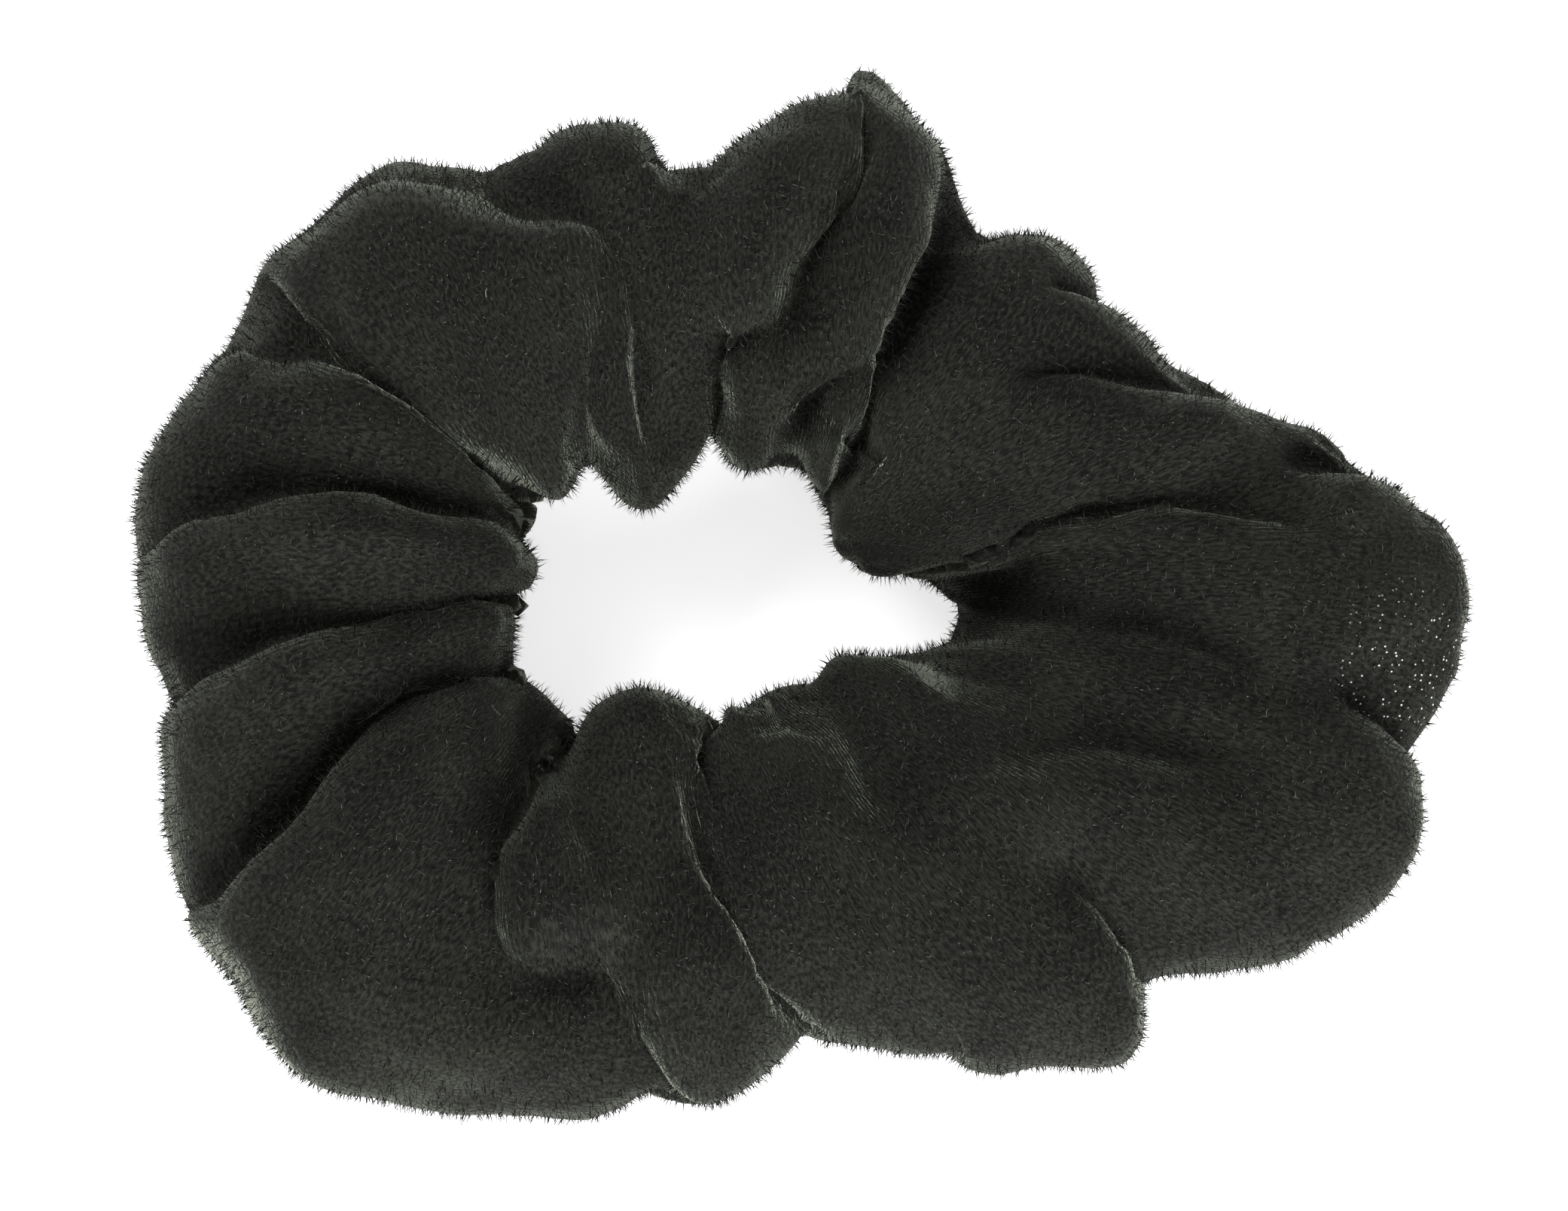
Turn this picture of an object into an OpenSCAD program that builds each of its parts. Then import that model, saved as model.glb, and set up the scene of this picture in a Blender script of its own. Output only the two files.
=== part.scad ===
// A gathered velvet scrunchie lying flat: a sewn cloth sleeve over a joined elastic loop.
// Millimetres, +Z up. The origin is on the resting plane, under the middle of the scrunchie.
// The ring opens along X: the left half stays still and the right half slides out.

/* [Scrunchie] */
// overall length along X at rest
ring_length = 110; // [90:1:140]
// overall width along Y at rest
ring_width = 86; // [70:1:110]
// height of the full, gathered end on the left
puff_height = 27; // [22:0.5:33]
// height of the flattened end on the right
flat_height = 16; // [13:0.5:20]

/* [Hole] */
// length of the hair hole along X
hole_length = 37; // [30:1:45]
// width of the hair hole along Y
hole_width = 25; // [20:1:30]

/* [Cloth] */
// thickness of the velvet with its pile
cloth_thickness = 1.4; // [1:0.1:1.7]
// depth of the gathers, from crest to valley
gather_depth = 4; // [2:0.25:5]

/* [Elastic] */
// width of the flat braided elastic
elastic_width = 6; // [4:0.5:7]
// thickness of the elastic
elastic_thickness = 1; // [0.6:0.1:1.3]
// length of the overlap where its two ends are joined
elastic_overlap = 15; // [10:1:20]

/* [Stitching] */
// thickness of the sewing thread
thread_diameter = 0.4; // [0.3:0.05:0.6]
// length of one stitch of the seams
seam_stitch = 3; // [2.5:0.25:4]
// number of zigzag turns in the elastic's join
zigzag_turns = 8; // [4:1:10]

/* [Hidden] */
// the size at which the gathers below are laid out
drawn_length = 110;
drawn_width = 86;
drawn_hole = [37, 25];
hole_middle = [-5.5, 1];
// clear gap between the two halves of the sleeve
split_gap = 0.3;
// steps from one crest or valley to the next, and points round the tube's section
gather_steps = 3;
ring_points = 24;
half_turn = 180;
// how square the sleeve's section is: 2 is an ellipse
section_power = 2.3;
// how far the underside would hang below the resting plane if nothing flattened it
rest_sag = 1.5;
// how far a valley's deepest line leans round the tube, in steps between gathers
gather_lean = 0.35;
// share of the way from the hole to the rim at which the elastic lies, and steps along it
elastic_place = 0.42;
elastic_steps = 72;
// gap between the two plies of elastic in the overlap, and the angle at the overlap's middle
ply_gap = 0.1;
join_angle = 250;
// share of a thread's thickness that is sunk into what it holds
thread_bite = 0.3;
thread_corners = 4;
// angle round the tube's section at which the tube seam runs, counted from the outer rim
seam_turn = -24;
// where the closing seam starts round the section, its share of the girth, and how round the section is
closing_from = -20;
closing_share = 0.94;
section_fill = 0.86;

// The gathers, anticlockwise from the split at the front. Each row is one crest or valley across the band:
// its point on the hole's edge, its point on the rim, how full the tube is there (0 flat, 1 puffed),
// and how far it dips (0 on a crest, 1 in a valley).
gathers = [
    [[-7, -10.3], [1, -36.3], 0.45, 1],
    [[-4.5, -9.6], [9, -37.8], 0.5, 0.1],
    [[-1, -8], [25, -39], 0.5, 0],
    [[1, -6.5], [29, -32.2], 0.45, 0.8],
    [[3.6, -5.2], [41, -29], 0.45, 0],
    [[7, -5.3], [50.5, -22], 0.3, 0.4],
    [[10, -4.5], [51.5, -16], 0.2, 0],
    [[11.8, -2.6], [51.3, -11.5], 0.05, 0.9],
    [[12.9, -0.3], [55, -2], 0.05, 0.2],
    [[10.8, 1.5], [54, 4.5], 0, 0.9],
    [[9, 2], [50.3, 8.2], 0.05, 0],
    [[7.5, 2.4], [46, 11.7], 0.05, 0.8],
    [[5.8, 2.7], [40.5, 15.6], 0.15, 0],
    [[4, 3.2], [31.2, 20.8], 0.2, 1],
    [[2.9, 5.2], [23, 30.2], 0.35, 0],
    [[2.3, 7.3], [14.8, 32], 0.35, 1],
    [[1.8, 9.2], [11, 39], 0.6, 0.1],
    [[0.6, 11], [6, 43], 0.65, 0],
    [[-1.8, 11.4], [2.5, 41.6], 0.65, 0.9],
    [[-4.5, 11.5], [-3, 40.2], 0.75, 0],
    [[-8.2, 13.7], [-9.2, 36], 0.7, 1],
    [[-12.5, 8.5], [-16, 40], 0.85, 0],
    [[-17.8, 11], [-26.3, 35.8], 0.8, 1],
    [[-20.5, 9.2], [-37.5, 34], 0.95, 0],
    [[-23.4, 9.2], [-45.8, 26.5], 0.85, 1],
    [[-23.8, 7.5], [-49.5, 20], 0.95, 0],
    [[-23.2, 5], [-53.6, 9.5], 0.9, 1],
    [[-22.8, 2.5], [-55, 1], 1, 0],
    [[-23.4, -0.5], [-52, -6.5], 0.9, 1],
    [[-23.5, -3], [-54, -14], 0.95, 0],
    [[-23.4, -6], [-51.7, -25], 0.85, 1],
    [[-22.8, -8], [-47.5, -33], 0.95, 0],
    [[-21.3, -10], [-40, -40.3], 0.9, 0.3],
    [[-20.3, -11], [-25, -43], 0.85, 0],
    [[-18.8, -11.8], [-11, -41.5], 0.6, 1],
    [[-13.5, -9], [-6, -42], 0.6, 0]
];
gather_total = len(gathers);
// the rows at which the sleeve is split, and the valley that holds the closing seam
front_split = 0;
back_split = 20;
closing_row = 18;

// ---- the ring's plan: the hole's edge, the outer rim and the band between them ----

function power_of(v, p) = sign(v) * pow(abs(v), p);
function unit(v) = v / norm(v);
function scaled(v, by) = [v[0] * by[0], v[1] * by[1]];
ring_scale = [(ring_length - split_gap) / drawn_length, ring_width / drawn_width];
hole_scale = [hole_length / drawn_hole[0], hole_width / drawn_hole[1]];
// a smooth value through the rows at u, which counts rows and parts of a row
function smooth(a, b, c, d, f) =
    b + f / 2 * ((c - a) + f * ((2 * a - 5 * b + 4 * c - d) + f * (3 * (b - c) + d - a)));
function row_value(u, column) =
    let (k = floor(u))
    smooth(gathers[(k + gather_total - 1) % gather_total][column], gathers[k % gather_total][column],
           gathers[(k + 1) % gather_total][column], gathers[(k + 2) % gather_total][column], u - k);
function hole_edge(u) = hole_middle + scaled(row_value(u, 0) - hole_middle, hole_scale);
function rim(u) = scaled(row_value(u, 1), ring_scale);
function band(u) = rim(u) - hole_edge(u);
function tube_height(u) = flat_height + (puff_height - flat_height) * row_value(u, 2);

// ---- the tube's section: s turns round it, from the outer rim at 0 over the top at 90 ----

// the gathers lean: a dip reaches the rim a little later round the ring than it reaches the hole
function dip(u, s) = gather_depth * row_value(u + gather_total - gather_lean * cos(s), 3);
// how much the gathers move a point: most at the top, nothing on the underside
function freedom(s) = max(0, sin(s));
function section_side(u, s, inset) = (norm(band(u)) / 2 - inset) * power_of(cos(s), 2 / section_power);
function section_up(u, s, inset) =
    (tube_height(u) / 2 + (s > half_turn ? rest_sag : 0) - inset) * power_of(sin(s), 2 / section_power)
    - dip(u, s) * freedom(s);
// a point of the tube's skin, or of its lining at an inset: the weight of the cloth rests it flat at z = 0
function on_tube(u, s, inset) =
    let (middle = (rim(u) + hole_edge(u)) / 2)
    let (flat = middle + unit(band(u)) * section_side(u, s, inset))
    [flat[0], flat[1], max(inset, tube_height(u) / 2 + section_up(u, s, inset))];

// ---- closed skins over rings of points ----

// the two triangles of one facet between neighbouring rings a and b
function facet(a, b, i, count) =
    let (j = (i + 1) % count)
    [[a + i, a + j, b + j], [a + i, b + j, b + i]];
// the facets of a tube over rings of points, with its start and its end left open
function tube_faces(rings, count, first) =
    [for (k = [0 : rings - 2]) for (i = [0 : count - 1])
        for (f = facet(first + k * count, first + (k + 1) * count, i, count)) f];
function flipped(faces) = [for (f = faces) [f[2], f[1], f[0]]];

// the hollow cloth tube from one split row to another
module half_sleeve(from, to, shift) {
    stations = (to - from) * gather_steps + 1;
    function skin(inset) = [for (k = [0 : stations - 1]) for (i = [0 : ring_points - 1])
        on_tube(from + k / gather_steps, i * 360 / ring_points, inset) + [shift, 0, 0]];
    lining = stations * ring_points;
    last = lining - ring_points;
    function end_faces(first) = [for (i = [0 : ring_points - 1])
        for (f = facet(first, lining + first, i, ring_points)) f];
    polyhedron(concat(skin(0), skin(cloth_thickness)),
               concat(tube_faces(stations, ring_points, 0),
                      flipped(tube_faces(stations, ring_points, lining)),
                      flipped(end_faces(0)),
                      end_faces(last)));
}

// the left half of the velvet sleeve: it stays still
module sleeve_left() {
    color([0.06, 0.065, 0.06]) half_sleeve(back_split, gather_total, -split_gap / 2);
}

// the right half of the velvet sleeve: it slides out when the ring is stretched
module sleeve_right() {
    color([0.06, 0.065, 0.06]) half_sleeve(front_split, back_split, split_gap / 2);
}

// ---- the elastic loop: an oval part of the way from the hole to the rim, standing on edge ----

elastic_middle = hole_middle * (1 - elastic_place);
elastic_reach = [for (i = [0 : 1])
    let (hole = [hole_length, hole_width][i])
    let (ring = [ring_length, ring_width][i])
    (hole + (ring - hole) * elastic_place) / 2];
function elastic_line(t) = elastic_middle + [elastic_reach[0] * cos(t), elastic_reach[1] * sin(t)];
function elastic_out(t) = unit([elastic_reach[1] * cos(t), elastic_reach[0] * sin(t)]);
// the overlap's length as an angle round the loop
overlap_angle = elastic_overlap / norm(elastic_line(join_angle + 0.5) - elastic_line(join_angle - 0.5));
loop_from = join_angle - overlap_angle / 2;
loop_turn = 360 + overlap_angle;
// the second end climbs over the first just before the loop closes
climb_height = elastic_thickness + ply_gap;
function lift(u) = climb_height * min(1, max(0, (u - 360 + overlap_angle) / overlap_angle));
function elastic_side(u, side) =
    elastic_line(loop_from + u)
    + elastic_out(loop_from + u) * (lift(u) + side * elastic_thickness / 2);
// it lies at half the height of the lowest valley
elastic_low = (flat_height - gather_depth - elastic_width) / 2;

module elastic_loop() {
    outside = [for (k = [0 : elastic_steps]) elastic_side(k * loop_turn / elastic_steps, 1)];
    inside = [for (k = [elastic_steps : -1 : 0]) elastic_side(k * loop_turn / elastic_steps, -1)];
    color([0.9, 0.89, 0.86])
        translate([0, 0, elastic_low])
            linear_extrude(elastic_width) polygon(concat(outside, inside));
}

// ---- threads: each is one closed skin round a bent line ----

function heading(points, k) =
    unit(points[min(k + 1, len(points) - 1)] - points[max(k - 1, 0)]);
function squared_to(v, along) = unit(v - along * (v * along));

// a thread along the points, with side as a direction that its first piece doesn't run in
module thread(points, side) {
    count = len(points);
    sides = [for (k = 0, v = squared_to(side, heading(points, 0)); k < count;
                  k = k + 1, v = squared_to(v, heading(points, min(k, count - 1)))) v];
    skin = [for (k = [0 : count - 1]) for (i = [0 : thread_corners - 1])
        let (turn = i * 360 / thread_corners)
        points[k] + thread_diameter / 2
            * (sides[k] * cos(turn) + cross(heading(points, k), sides[k]) * sin(turn))];
    top = (count - 1) * thread_corners;
    first_end = [for (i = [1 : thread_corners - 2]) [0, i + 1, i]];
    last_end = [for (i = [1 : thread_corners - 2]) [top, top + i, top + i + 1]];
    polyhedron(skin, concat(flipped(tube_faces(count, thread_corners, 0)),
                            flipped(first_end), flipped(last_end)));
}

// zigzag stitches through the overlapped ends: every second run lies on the elastic's other face
module elastic_join_thread() {
    margin = elastic_width / 6;
    proud = thread_diameter * (0.5 - thread_bite);
    outside = climb_height + elastic_thickness / 2 + proud;
    inside = -elastic_thickness / 2 - proud;
    sewn_share = 0.7;
    function place(k) = join_angle + overlap_angle * sewn_share * (k / zigzag_turns - 0.5);
    function height(k) = elastic_low + (k % 2 == 0 ? margin : elastic_width - margin);
    function turn_point(k, reach) =
        let (flat = elastic_line(place(k)) + elastic_out(place(k)) * reach)
        [flat[0], flat[1], height(k)];
    points = [for (k = [0 : zigzag_turns])
        for (reach = k % 2 == 0 ? [inside, outside] : [outside, inside]) turn_point(k, reach)];
    color([0.8, 0.8, 0.78]) thread(points, [0, 0, 1]);
}

// the long seam's thread lies on the cloth's inner face and bites into it at every second point
module tube_seam(from, to, shift) {
    end_clear = 0.15;
    seam_length = PI * (ring_length + ring_width) / 2 * (to - from) / gather_total;
    count = floor(seam_length / seam_stitch);
    step = (to - from - 2 * end_clear) / count;
    function depth(k) = cloth_thickness + thread_diameter * (k % 2 == 0 ? 0.5 - thread_bite : 0.5);
    points = [for (k = [0 : count])
        on_tube(from + end_clear + k * step, seam_turn, depth(k)) + [shift, 0, 0]];
    color([0.1, 0.1, 0.1]) thread(points, [0, 0, 1]);
}

// the tube seam's thread inside the left half
module tube_seam_thread_left() {
    tube_seam(back_split, gather_total, -split_gap / 2);
}

// the tube seam's thread inside the right half
module tube_seam_thread_right() {
    tube_seam(front_split, back_split, split_gap / 2);
}

// the thread round the tube's girth that shuts the ring, in and out of the velvet
module closing_seam_thread() {
    girth = 2 * (norm(band(closing_row)) + tube_height(closing_row)) * section_fill;
    count = 2 * floor(girth * closing_share / seam_stitch / 2);
    buried = 0.75;
    function depth(k) = k % 4 < 2 ? thread_diameter * (0.5 - thread_bite) : cloth_thickness * buried;
    points = [for (k = [0 : count - 1])
        on_tube(closing_row, closing_from + k * 360 * closing_share / count, depth(k))
        + [split_gap / 2, 0, 0]];
    color([0.1, 0.1, 0.1]) thread(points, [1, 0, 0]);
}

sleeve_left();
sleeve_right();
elastic_loop();
elastic_join_thread();
tube_seam_thread_left();
tube_seam_thread_right();
closing_seam_thread();
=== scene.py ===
# %% [markdown]
# # A black velvet scrunchie
# A scrunchie is a strip of velvet sewn into a tube, gathered over a loop of flat elastic and sewn shut into
# a ring. The finished model is loaded first as plain solids, and every looks-only piece is built round it.
# All sizes are in metres, +Z is up, and the scrunchie rests on z = 0.

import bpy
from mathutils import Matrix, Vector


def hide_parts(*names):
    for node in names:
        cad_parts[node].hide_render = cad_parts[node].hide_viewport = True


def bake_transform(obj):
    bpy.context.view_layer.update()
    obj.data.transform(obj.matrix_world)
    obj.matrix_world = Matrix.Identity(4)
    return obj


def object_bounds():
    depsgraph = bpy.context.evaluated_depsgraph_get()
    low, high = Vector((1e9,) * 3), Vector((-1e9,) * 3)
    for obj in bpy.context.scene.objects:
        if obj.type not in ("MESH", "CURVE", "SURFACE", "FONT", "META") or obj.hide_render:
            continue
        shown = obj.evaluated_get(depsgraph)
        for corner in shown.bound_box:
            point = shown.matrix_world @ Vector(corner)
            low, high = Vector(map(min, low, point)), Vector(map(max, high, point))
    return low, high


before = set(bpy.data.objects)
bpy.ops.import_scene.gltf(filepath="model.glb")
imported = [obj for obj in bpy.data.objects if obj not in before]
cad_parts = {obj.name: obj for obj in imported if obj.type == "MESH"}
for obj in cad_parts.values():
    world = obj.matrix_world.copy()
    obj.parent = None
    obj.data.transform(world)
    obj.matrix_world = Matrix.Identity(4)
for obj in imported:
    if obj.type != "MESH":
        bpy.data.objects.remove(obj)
cad_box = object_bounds()
print("the solid model's box:", cad_box)

# %% Modules and small helpers
import math

import bmesh
import bpy
import numpy as np
from mathutils import Vector, noise
from mathutils.bvhtree import BVHTree

MM = 0.001
MERGE = 0.01 * MM
low, high = (np.array(corner) for corner in cad_box)
middle = (low + high) / 2
length, width, height = high - low


def new_piece(name, bm):
    """Writes a bmesh into a new object at the origin."""
    mesh = bpy.data.meshes.new(name)
    bm.to_mesh(mesh)
    bm.free()
    piece = bpy.data.objects.new(name, mesh)
    bpy.context.collection.objects.link(piece)
    return piece


def node(tree, kind, inputs, **settings):
    """A node with its settings made, and each input either linked to an output or given a value."""
    made = tree.nodes.new(kind)
    for key, value in settings.items():
        setattr(made, key, value)
    for name, value in inputs.items():
        if isinstance(value, bpy.types.NodeSocket):
            tree.links.new(value, made.inputs[name])
        else:
            made.inputs[name].default_value = value
    return made


print(f"scrunchie {length / MM:.0f} x {width / MM:.0f} x {height / MM:.0f} mm")

# %% [markdown]
# ## The camera
# The scrunchie lies flat and is seen from almost straight above, a little from the front. A long lens keeps
# the ring's far side as large as its near side.

# %% Camera
CAMERA_TILT = math.radians(82)
CAMERA_DISTANCE = 0.6
FRAME_WIDTH = 1.182 * length
SENSOR_WIDTH = 36
AIM_X, AIM_Y, AIM_HEIGHT = middle[0] - 1.6 * MM, middle[1] - 0.7 * MM, 0.4 * height
camera_data = bpy.data.cameras.new("camera")
camera_data.sensor_width = SENSOR_WIDTH
camera_data.lens = SENSOR_WIDTH * CAMERA_DISTANCE / FRAME_WIDTH
camera = bpy.data.objects.new("camera", camera_data)
bpy.context.collection.objects.link(camera)
aim = Vector((AIM_X, AIM_Y, AIM_HEIGHT))
away = Vector((0, -math.cos(CAMERA_TILT), math.sin(CAMERA_TILT)))
camera.location = aim + away * CAMERA_DISTANCE
camera.rotation_euler = (-away).to_track_quat("-Z", "Y").to_euler()
bpy.context.scene.camera = camera
print("lens", round(camera_data.lens), "mm")

# %% [markdown]
# ## The table and the light
# Black velvet shows its folds only by its sheen, so the light is large and soft and comes mostly from the
# front, low over the table. The table is nearly white.

# %% Table, sky and lamps
FLOOR_REACH = 3.0
TABLE_WHITE, TABLE_GLOW, TABLE_ROUGHNESS = (0.9, 0.9, 0.9, 1), 0.72, 0.9
PURE_WHITE, SKY_LIGHT = (1, 1, 1, 1), 0.42
# name, place, width and power in watts
LAMPS = (("front_soft_box", (0.3, -0.75, 0.34), 0.6, 21),
         ("back_soft_box", (-0.45, 0.5, 0.5), 0.5, 9))

bm = bmesh.new()
bmesh.ops.create_grid(bm, x_segments=1, y_segments=1, size=FLOOR_REACH)
floor = new_piece("table_top", bm)
white = bpy.data.materials.new("white_table")
white.use_nodes = True
shader = white.node_tree.nodes["Principled BSDF"]
shader.inputs["Base Color"].default_value = TABLE_WHITE
shader.inputs["Roughness"].default_value = TABLE_ROUGHNESS
shader.inputs["Emission Color"].default_value = PURE_WHITE
shader.inputs["Emission Strength"].default_value = TABLE_GLOW
floor.data.materials.append(white)

world = bpy.data.worlds.new("studio")
world.use_nodes = True
sky = world.node_tree.nodes["Background"]
sky.inputs["Color"].default_value = PURE_WHITE
sky.inputs["Strength"].default_value = SKY_LIGHT
bpy.context.scene.world = world
bpy.context.scene.view_settings.view_transform = "Standard"


def lamp(name, place, size, power):
    """A square soft box that faces the scrunchie."""
    data = bpy.data.lights.new(name, "AREA")
    data.size = size
    data.energy = power
    soft_box = bpy.data.objects.new(name, data)
    bpy.context.collection.objects.link(soft_box)
    soft_box.location = place
    soft_box.rotation_euler = (aim - Vector(place)).to_track_quat("-Z", "Y").to_euler()


for lamp_values in LAMPS:
    lamp(*lamp_values)
print("table and", len(LAMPS), "lamps set")

# %% [markdown]
# ## How the gathers lie
# Gathered cloth puffs out between creases. Each row below is one crest or one crease across the band, from
# the hole's edge to the rim, going anticlockwise from the front. It says where the row starts and ends, in
# millimetres, how full the tube is there and how deep the crease is. A crest has no dip, a crease up to 1.

# %% The rows of crests and creases
HOLE_X, HOLE_Y, RIM_X, RIM_Y, FULLNESS, DIP = range(6)
ROWS = np.array([
    (-7, -10.3, 1, -36.3, 0.45, 1),
    (-4.5, -9.6, 9, -37.8, 0.5, 0.1),
    (-1, -8, 25, -39, 0.5, 0),
    (1, -6.5, 29, -32.2, 0.45, 0.8),
    (3.6, -5.2, 41, -29, 0.45, 0),
    (7, -5.3, 49.6, -21.6, 0.3, 0.4),
    (10, -4.5, 50.6, -16, 0.2, 0),
    (11.8, -2.6, 51.3, -11.5, 0.05, 0.9),
    (12.9, -0.3, 54.2, -2, 0.05, 0.2),
    (10.8, 1.5, 53.5, 4.5, 0, 0.8),
    (9, 2, 50.3, 8.2, 0.05, 0),
    (7.5, 2.4, 46, 11.7, 0.05, 0.8),
    (5.8, 2.7, 40.5, 15.6, 0.15, 0),
    (4, 3.2, 31.2, 20.8, 0.2, 1),
    (2.9, 5.2, 23, 30.2, 0.35, 0),
    (2.3, 7.3, 14.8, 32, 0.35, 1),
    (1.8, 9.2, 11, 39, 0.6, 0.1),
    (0.6, 11, 6, 44.6, 0.65, 0),
    (-1.8, 11.4, 2.5, 41.6, 0.65, 0.9),
    (-4.5, 11.5, -3, 40.2, 0.75, 0),
    (-8.2, 13.7, -9.2, 36, 0.7, 1),
    (-12.5, 8.5, -16, 40, 0.85, 0),
    (-17.8, 11, -26.3, 36, 0.8, 0.65),
    (-20.5, 9.2, -36.2, 36, 0.95, 0),
    (-23.4, 9.2, -44.4, 25.6, 0.85, 0.9),
    (-23.8, 7.5, -48.6, 19.6, 0.95, 0),
    (-23.2, 5, -53.6, 9.5, 0.9, 1),
    (-22.8, 2.5, -55, 1, 1, 0),
    (-23.4, -0.5, -52, -6.5, 0.9, 1),
    (-23.5, -3, -52.6, -13.5, 0.95, 0),
    (-23.4, -6, -50.2, -24.5, 0.85, 0.9),
    (-22.8, -8, -46.8, -32.4, 0.95, 0),
    (-21.3, -10, -40, -40.3, 0.9, 0.1),
    (-20.3, -11, -25, -43, 0.85, 0),
    (-18.8, -11.8, -11, -41.5, 0.6, 1),
    (-13.5, -9, -6, -42, 0.6, 0),
], float)
PUFF_HEIGHT, FLAT_HEIGHT = 26, 15
# how deep a full crease cuts down into the tube, and the share of that by which it narrows the tube
NOTCH_DEPTH, NOTCH_SIDE_SHARE = 2.0, 0.3
# room left at the rim for a full tube to swell into, and the share of it that a flat tube needs
SWELL, FLAT_SWELL = 2.1, 0.35
# how far the tube would reach below the table, which flattens its underside
PRESSED_FLAT = 1.5
# the power of the tube's outline: 2 is an oval, more is squarer
SQUARENESS = 2.2


def along_rows(u, column):
    """A smooth value at u, which counts rows and parts of a row round the ring."""
    k = np.floor(u).astype(int)
    f = u - k
    a, b, c, d = (ROWS[(k + step) % len(ROWS), column] for step in (-1, 0, 1, 2))
    return b + f / 2 * ((c - a) + f * ((2 * a - 5 * b + 4 * c - d) + f * (3 * (b - c) + d - a)))


def power_of(value, power):
    """A power that keeps the value's sign."""
    return np.sign(value) * np.abs(value) ** power


def smooth_step(value):
    """Goes from 0 to 1 without a corner at either end."""
    value = np.clip(value, 0, 1)
    return value * value * (3 - 2 * value)


def tube(u, turn):
    """The place of the cloth in millimetres: u rows round the ring, turn round the tube from the rim."""
    hole = np.stack([along_rows(u, HOLE_X), along_rows(u, HOLE_Y)], -1)
    rim = np.stack([along_rows(u, RIM_X), along_rows(u, RIM_Y)], -1)
    fullness, dip = along_rows(u, FULLNESS), along_rows(u, DIP)
    across = np.linalg.norm(rim - hole, axis=-1)
    outward = (rim - hole) / across[..., None]
    swell = SWELL * (FLAT_SWELL + (1 - FLAT_SWELL) * fullness) * np.clip(1 - dip, 0, 1)
    across = across - swell
    rim = rim - outward * swell[..., None]
    tall = FLAT_HEIGHT + (PUFF_HEIGHT - FLAT_HEIGHT) * fullness
    notch = NOTCH_DEPTH * dip * np.abs(np.cos(turn))
    side = (across / 2 - notch * NOTCH_SIDE_SHARE) * power_of(np.cos(turn), 2 / SQUARENESS)
    below = turn > math.pi
    up = (tall / 2 + np.where(below, PRESSED_FLAT, -notch)) * power_of(np.sin(turn), 2 / SQUARENESS)
    flat = (hole + rim) / 2 + outward * side[..., None]
    return np.concatenate([flat, np.maximum(0, tall / 2 + up)[..., None]], -1)


print(len(ROWS), "crests and creases")

# %% [markdown]
# ## The folds
# Between the gathers the cloth lies in folds that lap over each other like shingles. Each fold below is the
# edge of an upper layer, drawn as a line of a few points with the upper layer on its left. It says how deep
# the step down is, and whether each end of the line fades out or runs off the cloth's edge.

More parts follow.
